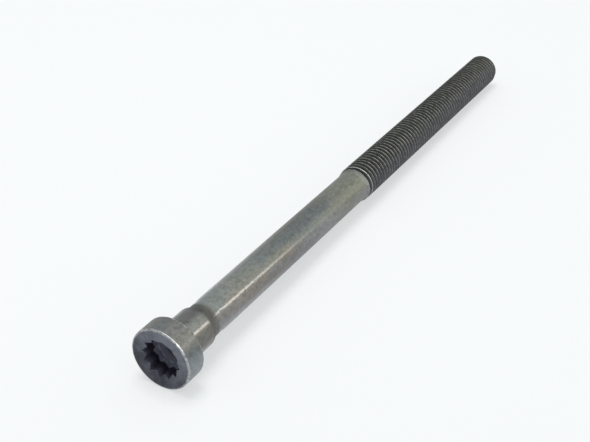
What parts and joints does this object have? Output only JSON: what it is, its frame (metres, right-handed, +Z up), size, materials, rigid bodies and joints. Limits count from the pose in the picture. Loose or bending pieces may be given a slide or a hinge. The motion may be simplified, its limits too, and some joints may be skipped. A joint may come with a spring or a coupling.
{
  "type": "cylinder head bolt",
  "caption": "long reduced-shank bolt with a low round head, star-shaped drive socket, guide shoulder and a long rolled thread, for clamping a cylinder head to an engine block",
  "frame": {"origin": "on the surface that the bolt lies on, under the middle of its box", "axes": "+X runs along the bolt from its head to its thread's end, +Z is up, +Y completes a right-handed frame. The bolt's own axis lies in the XZ plane and sinks by about 0.84 degrees towards +X, because its head is wider than its thread"},
  "size_m": [0.1788, 0.0148, 0.015],
  "materials": {
    "steel": "worn dark oiled steel, brownish and greenish on the shank, darker on the head's face and in the thread"
  },
  "bodies": {
    "root": {"bolt": "steel"}
  },
  "joints": []
}
